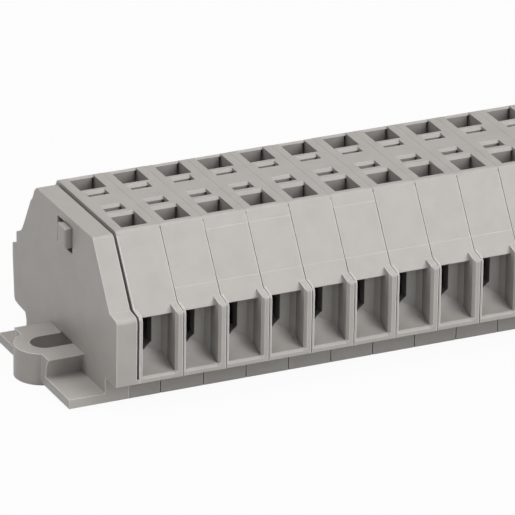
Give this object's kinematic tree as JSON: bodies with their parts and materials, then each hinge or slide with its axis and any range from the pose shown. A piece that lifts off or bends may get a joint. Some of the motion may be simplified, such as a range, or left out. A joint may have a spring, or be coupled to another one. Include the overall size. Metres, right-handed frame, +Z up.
{
  "type": "terminal strip",
  "caption": "Long light grey terminal strip of joined spring clamp modules, with wire funnels along both sides, driver holes on top and a slotted screw flange at each end.",
  "frame": {"origin": "middle of the bounding box on the ground plane, under the two screw eyes", "axes": "+X along the strip towards the right end plate, +Y towards the rear wire side, +Z up"},
  "size_m": [0.0724, 0.0278, 0.0182],
  "materials": {
    "grey_polyamide": "satin moulded",
    "tinned_copper": "satin tin plate over copper",
    "spring_steel": "satin rolled strip"
  },
  "bodies": {
    "root": {"end_plate_left": "grey_polyamide", "end_plate_right": "grey_polyamide", "housing_01": "grey_polyamide", "housing_02": "grey_polyamide", "housing_03": "grey_polyamide", "housing_04": "grey_polyamide", "housing_05": "grey_polyamide", "housing_06": "grey_polyamide", "housing_07": "grey_polyamide", "housing_08": "grey_polyamide", "housing_09": "grey_polyamide", "housing_10": "grey_polyamide", "housing_11": "grey_polyamide", "current_bar_01": "tinned_copper", "current_bar_02": "tinned_copper", "current_bar_03": "tinned_copper", "current_bar_04": "tinned_copper", "current_bar_05": "tinned_copper", "current_bar_06": "tinned_copper", "current_bar_07": "tinned_copper", "current_bar_08": "tinned_copper", "current_bar_09": "tinned_copper", "current_bar_10": "tinned_copper", "current_bar_11": "tinned_copper", "clamp_spring_front_01": "spring_steel", "clamp_spring_front_02": "spring_steel", "clamp_spring_front_03": "spring_steel", "clamp_spring_front_04": "spring_steel", "clamp_spring_front_05": "spring_steel", "clamp_spring_front_06": "spring_steel", "clamp_spring_front_07": "spring_steel", "clamp_spring_front_08": "spring_steel", "clamp_spring_front_09": "spring_steel", "clamp_spring_front_10": "spring_steel", "clamp_spring_front_11": "spring_steel", "clamp_spring_rear_01": "spring_steel", "clamp_spring_rear_02": "spring_steel", "clamp_spring_rear_03": "spring_steel", "clamp_spring_rear_04": "spring_steel", "clamp_spring_rear_05": "spring_steel", "clamp_spring_rear_06": "spring_steel", "clamp_spring_rear_07": "spring_steel", "clamp_spring_rear_08": "spring_steel", "clamp_spring_rear_09": "spring_steel", "clamp_spring_rear_10": "spring_steel", "clamp_spring_rear_11": "spring_steel"}
  },
  "joints": []
}
